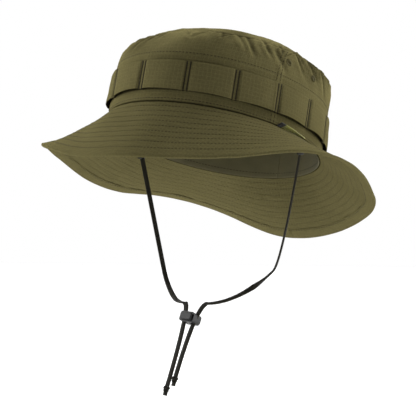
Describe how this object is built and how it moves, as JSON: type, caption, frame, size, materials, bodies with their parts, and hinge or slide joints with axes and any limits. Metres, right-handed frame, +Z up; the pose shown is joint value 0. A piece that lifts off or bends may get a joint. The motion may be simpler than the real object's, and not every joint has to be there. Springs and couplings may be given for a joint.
{
  "type": "boonie hat",
  "caption": "Soft sun hat with a domed crown, a band of tacked branch loops, a stitched drooping brim and a chin lace with a sliding spring lock.",
  "frame": {"origin": "middle of the head opening, in the plane of the brim seam, as the hat sits on a head", "axes": "+Z straight up as worn, -Y the way the wearer looks, +X the wearer's left; the hat is tilted back 15.7 degrees about X"},
  "size_m": [0.2825, 0.2739, 0.3092],
  "materials": {
    "shell_cloth": "olive drab rip-stop cotton blend, matt, fine grid weave",
    "seam_tape": "olive bias tape, matt",
    "thread": "olive sewing thread",
    "interlining": "undyed woven interlining, matt",
    "sweatband_cloth": "olive cotton twill, matt",
    "side_tag": "plain woven tag in yellow-green and black",
    "tab_webbing": "dark olive-black webbing",
    "lace": "flat braided lace, olive-black, slight sheen",
    "lock_plastic": "black nylon, fine matt texture",
    "spring_steel": "bright spring wire"
  },
  "bodies": {
    "hat": {"crown_top": "shell_cloth", "crown_wall_front": "shell_cloth", "crown_wall_back": "shell_cloth", "top_seam_tape": "seam_tape", "side_seam_tapes": "seam_tape", "base_stitching": "thread", "wall_stitching": "thread", "vent_eyelets": "thread", "loop_band": "shell_cloth", "loop_bartacks": "thread", "brim_top_front": "shell_cloth", "brim_top_back": "shell_cloth", "brim_interlining": "interlining", "brim_under_front": "shell_cloth", "brim_under_back": "shell_cloth", "brim_hem": "shell_cloth", "brim_stitching": "thread", "side_tag": "side_tag", "sweatband": "sweatband_cloth", "sweatband_stitching": "thread", "lace_tab_left": "tab_webbing", "lace_tab_right": "tab_webbing"},
    "chin_lace": {"chin_lace_left": "lace", "chin_lace_right": "lace", "lace_knot_left": "lace", "lace_knot_right": "lace"},
    "cord_lock": {"lock_barrel": "lock_plastic", "lock_spring": "spring_steel"},
    "lock_button": {"lock_plunger": "lock_plastic"}
  },
  "joints": [
    {"name": "chin_lace_swing", "type": "hinge", "parent": "hat", "child": "chin_lace", "pos_m": [0, 0.005, -0.0105], "axis": [-1, 0, 0], "range_deg": [0, 60]},
    {"name": "lock_slide", "type": "slide", "parent": "chin_lace", "child": "cord_lock", "axis": [-0.1, -0.34, -0.9351], "range_m": [0, 0.04]},
    {"name": "lock_button_press", "type": "slide", "parent": "cord_lock", "child": "lock_button", "axis": [0, 0.9398, -0.3417], "range_m": [0, 0.0016], "stiffness_N_per_m": 300, "springref_m": -0.003, "deforming": ["lock_spring"]}
  ]
}
